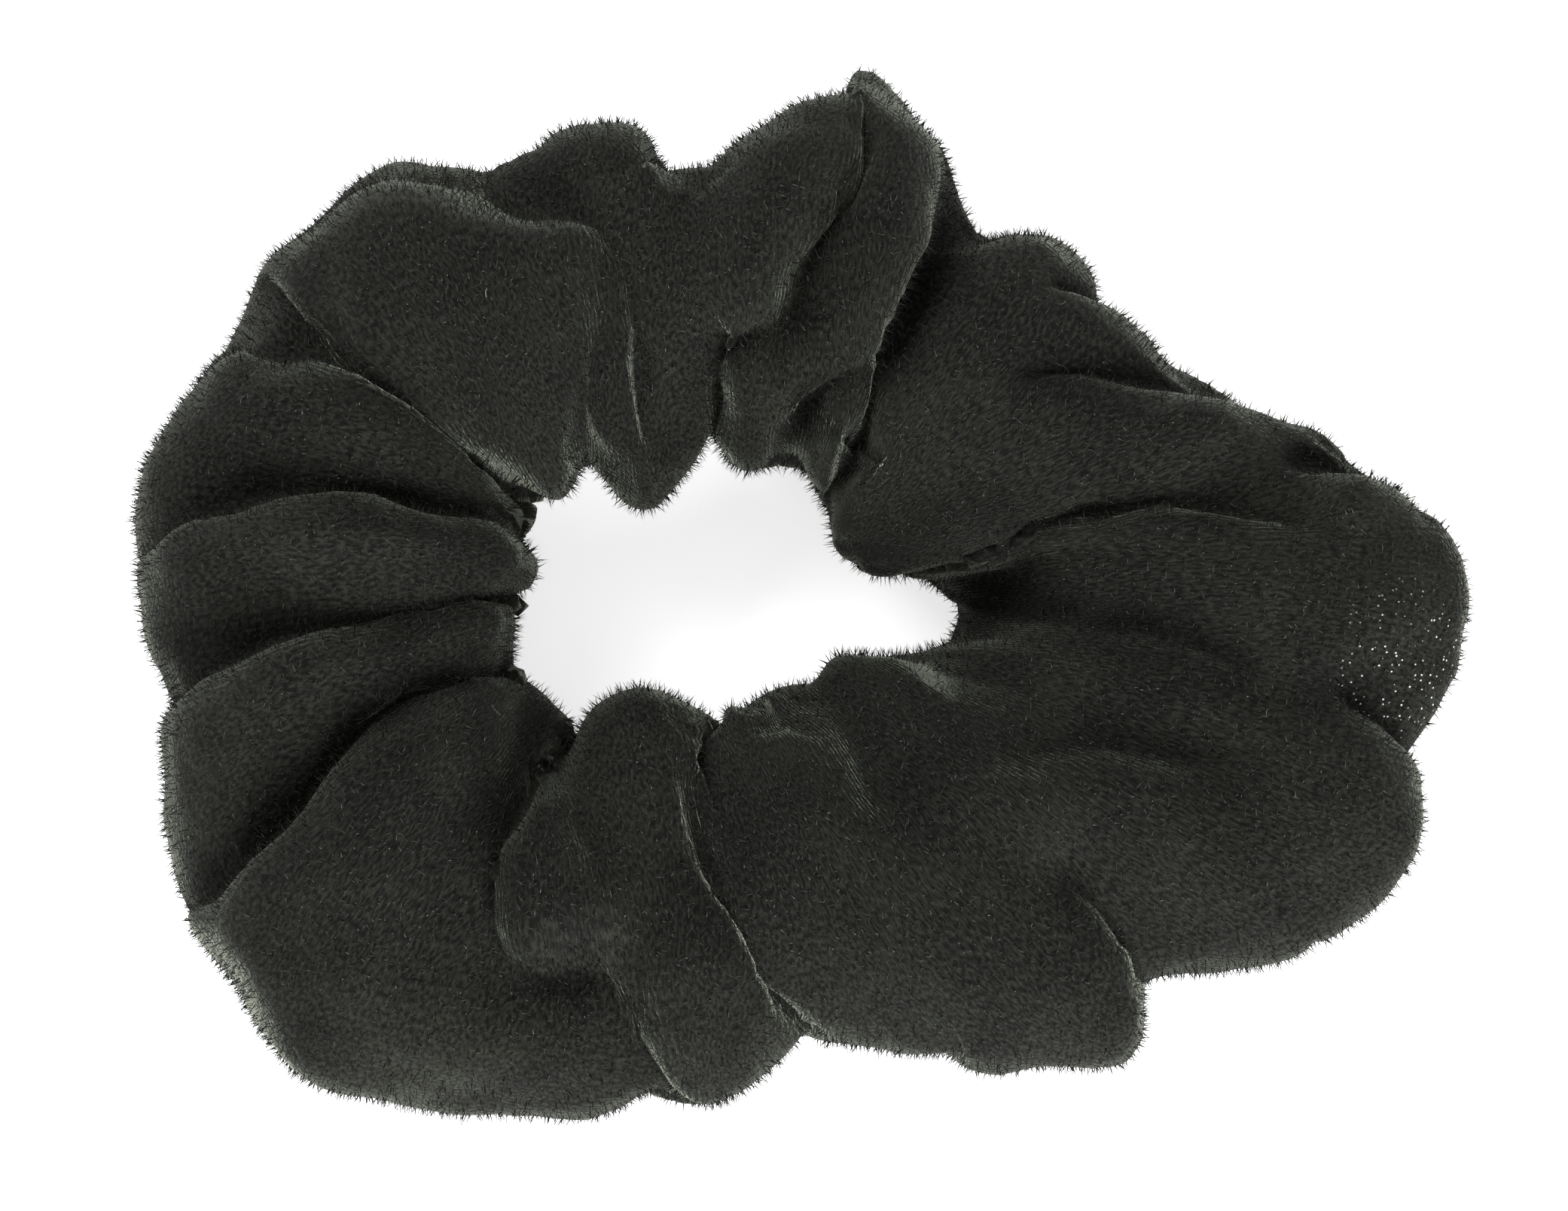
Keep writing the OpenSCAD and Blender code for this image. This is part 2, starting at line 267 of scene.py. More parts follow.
# %% The folds' edges
FADES, RUNS_OFF = True, False
FOLDS = [
    (3.4, RUNS_OFF, RUNS_OFF, [(-22, 3.4), (-25.1, 4.4), (-30.7, 5.4), (-38.3, 5.7), (-45.8, 4.6),
                               (-51.5, 2.9), (-56, 1.4)]),
    (4.0, RUNS_OFF, RUNS_OFF, [(-22, -0.5), (-26.2, -1.4), (-30, -2.7), (-34.5, -4), (-39, -5.1),
                               (-44, -6.4), (-48.1, -8.7), (-51.9, -10.8), (-55, -13)]),
    (4.0, RUNS_OFF, RUNS_OFF, [(-21, -7.8), (-23.2, -8), (-27, -8.3), (-30.7, -10), (-34.5, -12.7),
                               (-37.2, -16.1), (-40.9, -21), (-44.7, -23.8), (-48.1, -25.5), (-53, -27)]),
    (4.2, RUNS_OFF, RUNS_OFF, [(-18.8, -10), (-19.2, -11.7), (-20.9, -16.8), (-23.6, -22.5), (-24.3, -28.2),
                               (-23, -30.6), (-20.9, -31), (-16.4, -29.9), (-13.7, -32.3), (-11.8, -36.5),
                               (-10.2, -43)]),
    (2.2, FADES, RUNS_OFF, [(-10.7, -12.4), (-9.9, -16.5), (-8.1, -20.6), (-5.4, -25.5), (-3.2, -29.7),
                            (-0.9, -33.2), (1.8, -35.6), (7, -38.5)]),
    (1.2, FADES, FADES, [(8, -22), (6.2, -18.8), (3.8, -14), (-0.2, -10.9), (-4, -9)]),
    (1.4, RUNS_OFF, FADES, [(-4.3, -8), (-6.4, -10.8), (-7, -14.6), (-5.8, -20.5), (-3.4, -26.5)]),
    (3.2, RUNS_OFF, RUNS_OFF, [(-22, 6), (-26, 7.6), (-29.2, 9.7), (-33, 14.3), (-36, 16.3), (-39, 16.7),
                               (-42.8, 16.3), (-45.5, 18.4), (-51, 21)]),
    (1.0, FADES, FADES, [(-45.5, 11), (-42.8, 9), (-37.5, 6.9)]),
    (2.8, FADES, RUNS_OFF, [(-45, 28), (-42.4, 25.4), (-37.5, 19.9), (-33, 16.2), (-28.5, 12.4),
                            (-23.9, 10.2), (-21, 8)]),
    (3.6, FADES, FADES, [(-14.4, 7.5), (-13.7, 12.4), (-14.1, 19.9), (-15.2, 25.2), (-17.4, 28.2),
                         (-23.2, 29), (-27, 30.4), (-30, 31.4), (-33.8, 31.8), (-38, 30), (-42, 26)]),
    (2.4, RUNS_OFF, FADES, [(-18.2, 9.5), (-17.8, 17), (-18.2, 23), (-19.4, 27)]),
    (2.2, FADES, FADES, [(-26.6, 38), (-26.2, 36), (-24.5, 33), (-21, 30.6)]),
    (3.4, RUNS_OFF, RUNS_OFF, [(-8.1, 11), (-7.8, 14.5), (-7.3, 19.6), (-5, 21), (-2.6, 22.2), (-1.8, 25.8),
                               (0.2, 28.2), (2.2, 30.4), (3.4, 33), (3.8, 36.5), (3.6, 41)]),
    (1.8, FADES, RUNS_OFF, [(1.5, 38.6), (-3.5, 37.3), (-6.9, 35.4), (-11, 34)]),
    (3.2, FADES, FADES, [(-2, 11), (-1.5, 14.2), (-0.2, 16.3), (3, 18.2), (6.6, 21), (8, 24.6), (9.3, 27.4),
                            (9.9, 31.4), (9.7, 35.7), (8.9, 38.1), (6.6, 40.1), (3.4, 40.4)]),
    (1.2, FADES, FADES, [(3.5, 26.6), (3.5, 29.5), (3.4, 33)]),
    (1.4, FADES, RUNS_OFF, [(10.4, 31), (11.7, 29.2), (14, 28.4), (16.5, 33.5)]),
    (2.6, RUNS_OFF, FADES, [(34, 19.5), (30.4, 21), (27.6, 22.6), (25.3, 23.8), (20.5, 23.9), (17, 24.8)]),
    (2.3, RUNS_OFF, FADES, [(46, 14.5), (41.2, 15.1), (35.6, 15.3), (30.8, 16.1), (25.3, 16.7), (20.5, 16.9),
                            (15, 16)]),
    (1.6, RUNS_OFF, FADES, [(50, 7), (47.1, 8.3), (41.6, 9.9), (37.6, 11.9), (33, 11.6)]),
    (2.2, FADES, FADES, [(44, 4), (35.6, 5.3), (28.4, 6.2), (20.5, 6), (14, 3.5)]),
    (1.5, FADES, RUNS_OFF, [(38, -9), (30.4, -5), (24, -3), (19.7, -2), (11, -1.4)]),
    (2.2, RUNS_OFF, FADES, [(53, -15.5), (49.5, -13.7), (46.7, -11.7), (43.5, -9.7), (40.5, -6)]),
    (1.6, FADES, FADES, [(38, -16), (27.6, -14.7), (21.3, -14.5), (13, -16)]),
    (2.0, RUNS_OFF, FADES, [(28.2, -35), (27.4, -31.6), (22.5, -26), (18, -22)]),
]
FOLD_DEPTH = 1.4
FADE = 6.0
# where the step down starts and ends, on either side of the line, and how gently the cloth comes up again
UPPER_START, LOWER_START = 3.2, 1.3
LOWER_RUN, LOWER_POWER = 3.8, 1.4
# how far the two layers move over each other, where each moves most, and how wide the moved bands are
UPPER_LAP, LOWER_TUCK = 0.7, 0.7
UPPER_MIDDLE, LOWER_MIDDLE = UPPER_START / 3, LOWER_START * 1.5
LAP_REACH = 1.9
FULL_LAP_DEPTH = 2.5
# folds begin a little below the tube's widest place: the sine of the turn there, and its rise to full depth
FOLDS_FROM, FOLDS_RUN = -0.45, 0.8
# where several folds run together they share this depth and this sideways step
DEEPEST, MOST_LAP = 7, 1.3
# the elastic's share of the way from hole to rim, half its room there, and the height that clears it
ELASTIC_PLACE, ELASTIC_REACH, ELASTIC_ROOF = 0.42, 0.17, 12.8
CORNER_CUTS, CORNER_SHARE = 2, 0.25


def rounded(ends):
    """Cuts the corners off a line, and then the corners that this leaves."""
    for _ in range(CORNER_CUTS):
        near = ends[:-1] * (1 - CORNER_SHARE) + ends[1:] * CORNER_SHARE
        far = ends[:-1] * CORNER_SHARE + ends[1:] * (1 - CORNER_SHARE)
        ends = np.concatenate([ends[:1], np.stack([near, far], 1).reshape(-1, 2), ends[-1:]])
    return ends


def from_line(points, line):
    """Each point's distance from a line (left is positive), place along it and way left; the whole length."""
    ends = rounded(np.array(line, float))
    starts, runs = ends[:-1], np.diff(ends, axis=0)
    lengths = np.linalg.norm(runs, axis=1)
    before = np.concatenate([[0], np.cumsum(lengths)[:-1]])
    best = np.full(len(points), np.inf)
    signed, place = np.zeros(len(points)), np.zeros(len(points))
    aside = np.zeros((len(points), 2))
    for start, run, long, walked_before in zip(starts, runs, lengths, before):
        off = points - start
        share = np.clip(off @ run / long ** 2, 0, 1)
        away_from = off - share[:, None] * run
        distance = np.linalg.norm(away_from, axis=1)
        left = np.array([-run[1], run[0]]) / long
        nearer = distance < best
        best = np.where(nearer, distance, best)
        signed = np.where(nearer, np.where(off @ left >= 0, distance, -distance), signed)
        place = np.where(nearer, walked_before + share * long, place)
        aside = np.where(nearer[:, None], left, aside)
    return signed, place, aside, before[-1] + lengths[-1]


def fold(places, turn):
    """Laps the cloth over itself along every fold: the upper layer reaches over, the lower tucks under."""
    free = smooth_step((np.sin(turn) - FOLDS_FROM) / FOLDS_RUN)
    plan = places[:, :2].copy()
    sunk, shift = np.zeros(len(places)), np.zeros((len(places), 2))
    for depth, start_fades, end_fades, line in FOLDS:
        signed, place, aside, long = from_line(plan, line)
        strength = free.copy()
        if start_fades:
            strength *= smooth_step(place / FADE)
        if end_fades:
            strength *= smooth_step((long - place) / FADE)
        step = smooth_step((UPPER_START - signed) / (UPPER_START + LOWER_START))
        rise = np.exp(-(np.maximum(0, -signed - LOWER_START) / LOWER_RUN) ** LOWER_POWER)
        upper = np.exp(-((signed - UPPER_MIDDLE) / LAP_REACH) ** 2)
        lower = np.exp(-((signed + LOWER_MIDDLE) / LAP_REACH) ** 2)
        lap = (LOWER_TUCK * lower - UPPER_LAP * upper) * min(1, depth / FULL_LAP_DEPTH)
        sunk += depth * FOLD_DEPTH * step * rise * strength
        shift += aside * (lap * strength)[:, None]
    far = np.linalg.norm(shift, axis=1)
    folded = places.copy()
    shared = np.tanh(far / MOST_LAP) * MOST_LAP / np.maximum(far, MERGE)
    folded[:, :2] += shift * shared[:, None]
    folded[:, 2] -= np.tanh(sunk / DEEPEST) * DEEPEST
    from_elastic = np.abs((1 + np.cos(turn)) / 2 - ELASTIC_PLACE) / ELASTIC_REACH
    roof = np.where(np.sin(turn) > 0, ELASTIC_ROOF * smooth_step(2 - from_elastic), 0)
    folded[:, 2] = np.maximum(folded[:, 2], np.minimum(places[:, 2], roof))
    folded[:, 2] = np.maximum(folded[:, 2], 0)
    return folded


print(len(FOLDS), "folds")

# %% [markdown]
# ## The velvet sleeve
# The sleeve starts as the flat strip it is cut from. The strip is rolled into a tube and drawn up along
# the ring. Its long edges meet in the tube seam and its short edges in the closing seam. The tube starts a
# little slim, because it swells when it settles.

# %% Cut the strip and gather it
# this length is less than a real cut: it was lowered to one whose area the modelled cloth can fill
STRIP_LENGTH, STRIP_WIDTH = 0.3, 0.095
ALONG, AROUND = 440, 104
SEAM_TURN = math.radians(24)
SAMPLES_PER_ROW = 100


def evenly(share):
    """Rows counted round the ring, at even steps along the middle of the band."""
    fine = np.linspace(0, len(ROWS), len(ROWS) * SAMPLES_PER_ROW + 1)
    centre = np.stack([(along_rows(fine, 0) + along_rows(fine, 2)) / 2,
                       (along_rows(fine, 1) + along_rows(fine, 3)) / 2], -1)
    walked = np.concatenate([[0], np.cumsum(np.linalg.norm(np.diff(centre, axis=0), axis=1))])
    return np.interp(share * walked[-1], walked, fine)


bm = bmesh.new()
bm.loops.layers.uv.new("UVMap")
bmesh.ops.create_grid(bm, x_segments=ALONG, y_segments=AROUND, size=0.5, calc_uvs=True)
shares = np.array([vert.co[:2] for vert in bm.verts]) + 0.5
turn = (shares[:, 1] * 2 * math.pi - SEAM_TURN) % (2 * math.pi)
for vert, place in zip(bm.verts, fold(tube(evenly(shares[:, 0]), turn), turn)):
    vert.co = place * MM
bmesh.ops.remove_doubles(bm, verts=bm.verts, dist=MERGE)
bmesh.ops.recalc_face_normals(bm, faces=bm.faces)
for face in bm.faces:
    face.smooth = True
sleeve = new_piece("velvet_sleeve", bm)
print(len(sleeve.data.vertices), "points of cloth")

# %% [markdown]
# ## Letting the cloth settle
# A drawn fold looks like carved wood. The cloth simulation puffs the tube up from inside, with some
# stiffness against bending, so the faces swell and the folds close up. It runs at ten times
# the real size, where it is steadier, and no point may end up far from where it was drawn.

# %% Let the cloth settle
SETTLE_SCALE = 10
SETTLE_FRAMES = 14
MOST_MOVE = 2 * MM
TABLE_TOUCH = 1.5 * MM
HELD_ON_TABLE, HELD_ABOVE = 0.9, 0.08
# the simulated cloth: its weight and stiffness, its growth (a negative shrink) and the pressure inside
THICK_VELVET = {
    "quality": 6, "mass": 0.15, "tension_stiffness": 20, "compression_stiffness": 20, "shear_stiffness": 8,
    "bending_stiffness": 1.2, "shrink_min": -0.12, "use_pressure": True, "uniform_pressure_force": 3}
# depth and spacing of the dents, and the height above which they are full
DENTS = ((0.75 * MM, 7 * MM), (0.22 * MM, 3 * MM))
DENT_FREE = 5 * MM


def read_places(mesh):
    """The places of a mesh's points, one row each."""
    flat = np.empty(len(mesh.vertices) * 3)
    mesh.vertices.foreach_get("co", flat)
    return flat.reshape(-1, 3)


def puff_up(piece, start):
    """The places that the cloth simulation gives the points."""
    piece.data.vertices.foreach_set("co", (start * SETTLE_SCALE).ravel())
    held = piece.vertex_groups.new(name="held")
    for index, z in enumerate(start[:, 2]):
        held.add([index], HELD_ON_TABLE if z < TABLE_TOUCH else HELD_ABOVE, "REPLACE")
    cloth = piece.modifiers.new("settle", "CLOTH")
    for setting, value in THICK_VELVET.items():
        setattr(cloth.settings, setting, value)
    cloth.settings.vertex_group_mass = held.name
    cloth.settings.effector_weights.gravity = 0
    cloth.collision_settings.use_self_collision = False
    cloth.point_cache.frame_start = 1
    cloth.point_cache.frame_end = SETTLE_FRAMES
    for frame_number in range(1, SETTLE_FRAMES + 1):
        bpy.context.scene.frame_set(frame_number)
    seen = piece.evaluated_get(bpy.context.evaluated_depsgraph_get())
    puffed = read_places(seen.data) / SETTLE_SCALE
    piece.modifiers.remove(cloth)
    piece.vertex_groups.remove(held)
    bpy.context.scene.frame_set(1)
    return puffed


def dent(piece):
    """Adds the small soft dents that handling leaves, shallower near the table."""
    normals = [vert.normal.copy() for vert in piece.data.vertices]
    for vert, normal in zip(piece.data.vertices, normals):
        depth = sum(size * noise.noise(vert.co / spacing) for size, spacing in DENTS)
        vert.co += normal * depth * min(1, vert.co.z / DENT_FREE)
        vert.co.z = max(0, vert.co.z)


def settle(piece):
    """Puffs the cloth up and keeps every point within a short way of where it was drawn."""
    start = read_places(piece.data)
    moved = puff_up(piece, start) - start
    far = np.linalg.norm(moved, axis=1)
    settled = start + moved * np.minimum(1, MOST_MOVE / np.maximum(far, MERGE))[:, None]
    settled[:, 2] = np.maximum(settled[:, 2], 0)
    piece.data.vertices.foreach_set("co", settled.ravel())
    piece.data.update()
    print(f"points moved {far.mean() / MM:.2f} mm, at most {far.max() / MM:.1f} mm before the limit")


settle(sleeve)
dent(sleeve)
area = sum(face.area for face in sleeve.data.polygons)
print(f"cloth {area / MM ** 2:.0f} mm2, cut from {STRIP_LENGTH * STRIP_WIDTH / MM ** 2:.0f} mm2")

# %% [markdown]
# ## Shared patterns
# Two patterns are used by more than one finish. Brushed patches are where fingers have pushed the pile one
# way or the other. Twisted yarn is the slanting bands of plied thread; its dark grooves are painted shade.

# %% Shader groups
# a wave texture of scale 1 repeats every pi / 10 along one axis
WAVE_UNIT = math.pi / 10


def shader_group(name, inputs, output):
    """An empty node group with the given float or vector inputs and one value output."""
    group = bpy.data.node_groups.new(name, "ShaderNodeTree")
    for socket, kind, value in inputs:
        made = group.interface.new_socket(socket, in_out="INPUT", socket_type=kind)
        made.default_value = value
    group.interface.new_socket(output, in_out="OUTPUT", socket_type="NodeSocketFloat")
    return group, group.nodes.new("NodeGroupInput"), group.nodes.new("NodeGroupOutput")


def brushed_patches():
    """Soft uneven patches: 0 where the pile lies away, 1 where it stands towards the light."""
    group, given, result = shader_group("brushed_patches", [
        ("Place", "NodeSocketVector", (0, 0, 0)), ("Patches per metre", "NodeSocketFloat", 90)], "Patch")
    coarse = node(group, "ShaderNodeTexNoise", {
        "Vector": given.outputs["Place"], "Scale": given.outputs["Patches per metre"], "Detail": 3,
        "Distortion": 0.6})
    spread = node(group, "ShaderNodeMapRange", {
        "Value": coarse.outputs["Fac"], "From Min": 0.35, "From Max": 0.68})
    group.links.new(spread.outputs["Result"], result.inputs["Patch"])
    return group


def twisted_yarn():
    """Slanting bands, a little uneven: 0 in the grooves between the plies, 1 on top of them."""
    group, given, result = shader_group("twisted_yarn", [
        ("Place", "NodeSocketVector", (0, 0, 0)), ("Bands per metre", "NodeSocketFloat", 900)], "Ply")
    pitch = node(group, "ShaderNodeMath", {0: given.outputs["Bands per metre"], 1: WAVE_UNIT},
                 operation="MULTIPLY")
    bands = node(group, "ShaderNodeTexWave", {
        "Vector": given.outputs["Place"], "Scale": pitch.outputs["Value"], "Distortion": 1.5,
        "Detail": 2, "Detail Scale": 2}, bands_direction="DIAGONAL")
    group.links.new(bands.outputs["Fac"], result.inputs["Ply"])
    return group


patches_group = brushed_patches()
yarn_group = twisted_yarn()
print("groups:", patches_group.name, yarn_group.name)

# %% [markdown]
# ## The velvet's finish
# Velvet is a knitted ground with a dense standing pile. Seen along the pile it swallows the light. Seen from
# the side it has a soft sheen, which is what draws every fold with a pale edge. Close to, the pile shows as
# fine grain with faint ribs where the knit's columns part. Where the cloth is stretched over the right end,
# bright specks are painted into its colour as painted glints, standing for the light the stretched cloth
# catches.

# %% Velvet
PILE_DARK, PILE_LIGHT = (0.0010, 0.0011, 0.0009, 1), (0.0170, 0.0184, 0.0134, 1)
# painted glints: the colour of the bright specks painted into the velvet near its right end, and where they
# sit
PAINTED_GLINT = (0.55, 0.56, 0.52, 1)
GLINT_MIDDLE = (0.0505, -0.006, 0.012)
GLINT_REACH = 0.0085
PATCH_SHARE = 0.3
TUFT_WIDTH, TUFT_LENGTH = 0.3 * MM, 0.55 * MM
RIB_PITCH = 0.7 * MM
GLINTS_PER_METRE = 1800
REST_PLACE = "rest_place"


def remember_rest(piece):
    """Keeps each point's place at rest, so that patterns stay on the piece when it stretches."""
    kept = piece.data.attributes.new(REST_PLACE, "FLOAT_VECTOR", "POINT")
    kept.data.foreach_set("vector", read_places(piece.data).ravel())


def rest_place(tree):
    """The place that remember_rest kept, as a shader value."""
    return node(tree, "ShaderNodeAttribute", {}, attribute_name=REST_PLACE).outputs["Vector"]


def new_material(name):
    """A new material, its tree and its main shader."""
    made = bpy.data.materials.new(name)
    made.use_nodes = True
    return made, made.node_tree, made.node_tree.nodes["Principled BSDF"]


def fill_group(tree, group, inputs):
    """Places a shared pattern in a material with its own values."""
    return node(tree, "ShaderNodeGroup", inputs, node_tree=group)


def painted_glints(tree, place):
    """Painted glints: bright points painted into the colour where the velvet is stretched: 1 on a glint, 0
    elsewhere.
    """
    away_from = node(tree, "ShaderNodeVectorMath", {0: place, 1: GLINT_MIDDLE}, operation="DISTANCE")
    near = node(tree, "ShaderNodeMapRange", {
        "Value": away_from.outputs["Value"], "From Min": GLINT_REACH * 0.5, "From Max": GLINT_REACH,
        "To Min": 1, "To Max": 0})
    knit = node(tree, "ShaderNodeTexVoronoi", {
        "Vector": place, "Scale": GLINTS_PER_METRE, "Randomness": 0.8})
    glint_dot = node(tree, "ShaderNodeMapRange", {
        "Value": knit.outputs["Distance"], "From Min": 0.1, "From Max": 0.18, "To Min": 1, "To Max": 0})
    return node(tree, "ShaderNodeMath", {0: near.outputs["Result"], 1: glint_dot.outputs["Result"]},
                operation="MULTIPLY").outputs["Value"]


def velvet_finish():
    """Black velvet: ribs, tufts, brushed patches, sheen and painted glints at the right end."""
    made, tree, shader = new_material("black_velvet")
    place = rest_place(tree)
    strip = node(tree, "ShaderNodeUVMap", {}, uv_map="UVMap").outputs["UV"]
    patches = fill_group(tree, patches_group, {"Place": place})
    strokes = node(tree, "ShaderNodeMapping", {
        "Vector": strip, "Scale": (STRIP_LENGTH / TUFT_WIDTH, STRIP_WIDTH / TUFT_LENGTH, 1)})
    grain = node(tree, "ShaderNodeTexNoise", {"Vector": strokes.outputs["Vector"], "Scale": 1, "Detail": 3})
    ribs = node(tree, "ShaderNodeTexWave", {
        "Vector": strip, "Scale": STRIP_LENGTH / RIB_PITCH * WAVE_UNIT, "Distortion": 1.2, "Detail": 2},
        bands_direction="X")
    tuft = node(tree, "ShaderNodeMapRange", {
        "Value": grain.outputs["Fac"], "From Min": 0.38, "From Max": 0.66, "To Min": -0.15, "To Max": 0.7})
    tone = node(tree, "ShaderNodeMath", {
        0: patches.outputs["Patch"], 1: PATCH_SHARE, 2: tuft.outputs["Result"]},
        operation="MULTIPLY_ADD", use_clamp=True)
    pile = node(tree, "ShaderNodeMixRGB", {"Fac": tone.outputs["Value"], "Color1": PILE_DARK,
                                           "Color2": PILE_LIGHT})
    # painted glints: bright specks of light painted into the base colour near the right end
    glints = painted_glints(tree, place)
    colour = node(tree, "ShaderNodeMixRGB", {"Fac": glints, "Color1": pile.outputs["Color"],
                                             "Color2": PAINTED_GLINT})
    relief = node(tree, "ShaderNodeMath", {0: ribs.outputs["Fac"], 1: patches.outputs["Patch"]},
                  operation="MULTIPLY")
    ribbed = node(tree, "ShaderNodeBump", {"Height": relief.outputs["Value"], "Strength": 0.35,
                                           "Distance": 0.15 * MM})
    tufted = node(tree, "ShaderNodeBump", {"Height": grain.outputs["Fac"], "Strength": 0.8,
                                           "Distance": 0.22 * MM, "Normal": ribbed.outputs["Normal"]})
    tree.links.new(colour.outputs["Color"], shader.inputs["Base Color"])
    tree.links.new(tufted.outputs["Normal"], shader.inputs["Normal"])
    shader.inputs["Roughness"].default_value = 0.9
    shader.inputs["Sheen Weight"].default_value = 0.42
    shader.inputs["Sheen Roughness"].default_value = 0.27
    shader.inputs["Sheen Tint"].default_value = (0.93, 1, 0.82, 1)
    shader.inputs["Specular IOR Level"].default_value = 0.15
    return made


velvet = velvet_finish()
sleeve.data.materials.append(velvet)
print("velvet made")

# %% [markdown]
# ## The pile that stands out, and the lint on it
# Along every edge the pile's fibres show against the light as fine bristles. They are knitted in on the real
# cloth. Here each is a thin cone planted on the settled cloth, leaning a little at random. Velvet also
# catches lint: a few short pale fibres lie curled on it.

# %% Plant the pile and drop the lint
PILE_FIBRES = 60000
PILE_REACH, PILE_FOOT, PILE_LEAN = 1.15 * MM, 0.065 * MM, math.radians(34)
FIBRE_FREE = 1.2 * MM
LINT_FIBRES = 34
LINT_REACH, LINT_RADIUS, LINT_CURL = 1.3 * MM, 0.028 * MM, math.radians(100)
LINT_TIP = math.radians(14)
PILE_SCALES, LINT_SCALES = (0.45, 1), (0.4, 1)
PILE_SEED, LINT_SEED = 5, 11
PILE_BRIGHT = (0.016, 0.0175, 0.013, 1)
LINT_DULL, LINT_BRIGHT = (0.10, 0.09, 0.07, 1), (0.42, 0.39, 0.34, 1)
PILE_PATCHES, LINT_PATCHES = 1500, 140


def cone(group):
    """One fibre of the pile, standing on its foot."""
    made = node(group, "GeometryNodeMeshCone", {
        "Vertices": 3, "Radius Top": 0, "Radius Bottom": PILE_FOOT, "Depth": PILE_REACH})
    return made.outputs["Mesh"]


def curl(group):
    """One fibre of lint, lying on its side."""
    line = node(group, "GeometryNodeCurveArc", {
        "Resolution": 9, "Radius": LINT_REACH, "Sweep Angle": LINT_CURL})
    section = node(group, "GeometryNodeCurvePrimitiveCircle", {"Resolution": 4, "Radius": LINT_RADIUS})
    made = node(group, "GeometryNodeCurveToMesh", {
        "Curve": line.outputs["Curve"], "Profile Curve": section.outputs["Curve"], "Fill Caps": True})
    return made.outputs["Mesh"]


def scattered(cloth, name, fibre, count, lean, scales, seed, material):
    """A new piece of fibres scattered over the cloth, each leaning and scaled at random."""
    group = bpy.data.node_groups.new(name, "GeometryNodeTree")
    group.interface.new_socket("Cloth", in_out="INPUT", socket_type="NodeSocketGeometry")
    group.interface.new_socket("Fibres", in_out="OUTPUT", socket_type="NodeSocketGeometry")
    given = group.nodes.new("NodeGroupInput")
    rise = node(group, "ShaderNodeSeparateXYZ", {
        "Vector": group.nodes.new("GeometryNodeInputPosition").outputs["Position"]})
    off_table = node(group, "FunctionNodeCompare", {0: rise.outputs["Z"], 1: FIBRE_FREE})
    roots = node(group, "GeometryNodeDistributePointsOnFaces", {
        "Mesh": given.outputs["Cloth"], "Selection": off_table.outputs["Result"],
        "Density": count / area, "Seed": seed})
    size = node(group, "FunctionNodeRandomValue", {2: scales[0], 3: scales[1], "Seed": seed})
    planted = node(group, "GeometryNodeInstanceOnPoints", {
        "Points": roots.outputs["Points"], "Instance": fibre(group),
        "Rotation": roots.outputs["Rotation"], "Scale": size.outputs[1]})
    turned = node(group, "FunctionNodeRandomValue", {0: (-lean, -lean, 0), 1: (lean, lean, math.tau),
                                                     "Seed": seed}, data_type="FLOAT_VECTOR")
    leaning = node(group, "GeometryNodeRotateInstances", {
        "Instances": planted.outputs["Instances"], "Rotation": turned.outputs["Value"]})
    whole = node(group, "GeometryNodeRealizeInstances", {"Geometry": leaning.outputs["Instances"]})
    dyed = node(group, "GeometryNodeSetMaterial", {
        "Geometry": whole.outputs["Geometry"], "Material": material})
    result = group.nodes.new("NodeGroupOutput")
    group.links.new(dyed.outputs["Geometry"], result.inputs["Fibres"])
    ground = cloth.copy()
    ground.data = cloth.data.copy()
    bpy.context.collection.objects.link(ground)
    ground.modifiers.new(name, "NODES").node_group = group
    grown = ground.evaluated_get(bpy.context.evaluated_depsgraph_get())
    piece = bpy.data.objects.new(name, bpy.data.meshes.new_from_object(grown))
    bpy.context.collection.objects.link(piece)
    bpy.data.objects.remove(ground)
    print(name, len(piece.data.polygons), "faces")
    return piece


def fibre_finish(name, dull, bright, patches_per_metre):
    """A fibre's colour, which drifts between two tones from one fibre to the next."""
    made, tree, shader = new_material(name)
    place = rest_place(tree)
    patches = fill_group(tree, patches_group, {"Place": place, "Patches per metre": patches_per_metre})
    colour = node(tree, "ShaderNodeMixRGB", {"Fac": patches.outputs["Patch"], "Color1": dull,
                                             "Color2": bright})
    tree.links.new(colour.outputs["Color"], shader.inputs["Base Color"])
    shader.inputs["Roughness"].default_value = 0.8
    shader.inputs["Sheen Weight"].default_value = 0.2
    shader.inputs["Sheen Roughness"].default_value = 0.4
    shader.inputs["Specular IOR Level"].default_value = 0.1
    return made


pile_dye = fibre_finish("velvet_fibre", PILE_DARK, PILE_BRIGHT, PILE_PATCHES)
lint_dye = fibre_finish("lint_fibre", LINT_DULL, LINT_BRIGHT, LINT_PATCHES)
pile = scattered(sleeve, "velvet_pile", cone, PILE_FIBRES, PILE_LEAN, PILE_SCALES, PILE_SEED, pile_dye)
lint = scattered(sleeve, "lint", curl, LINT_FIBRES, LINT_TIP, LINT_SCALES, LINT_SEED, lint_dye)

# %% [markdown]
# ## The cloth's thickness
# Velvet is about a millimetre thick. The thickness goes inwards from the face that was settled, so the pile
# still stands on the outer face.

# %% Give the cloth its thickness
CLOTH_THICKNESS = 1.0 * MM
thick = sleeve.modifiers.new("cloth thickness", "SOLIDIFY")
thick.thickness = CLOTH_THICKNESS
thick.offset = -1
print("cloth", CLOTH_THICKNESS / MM, "mm thick")

# %% [markdown]
# ## The elastic and the threads
# Inside the sleeve lie the braided elastic, the zigzag stitches that join its ends, and the seams' threads.
# They are copies of the solid model's own shapes. The elastic is cut into bands along its width and every
# band is rounded, because braided elastic is a row of covered rubber cords.

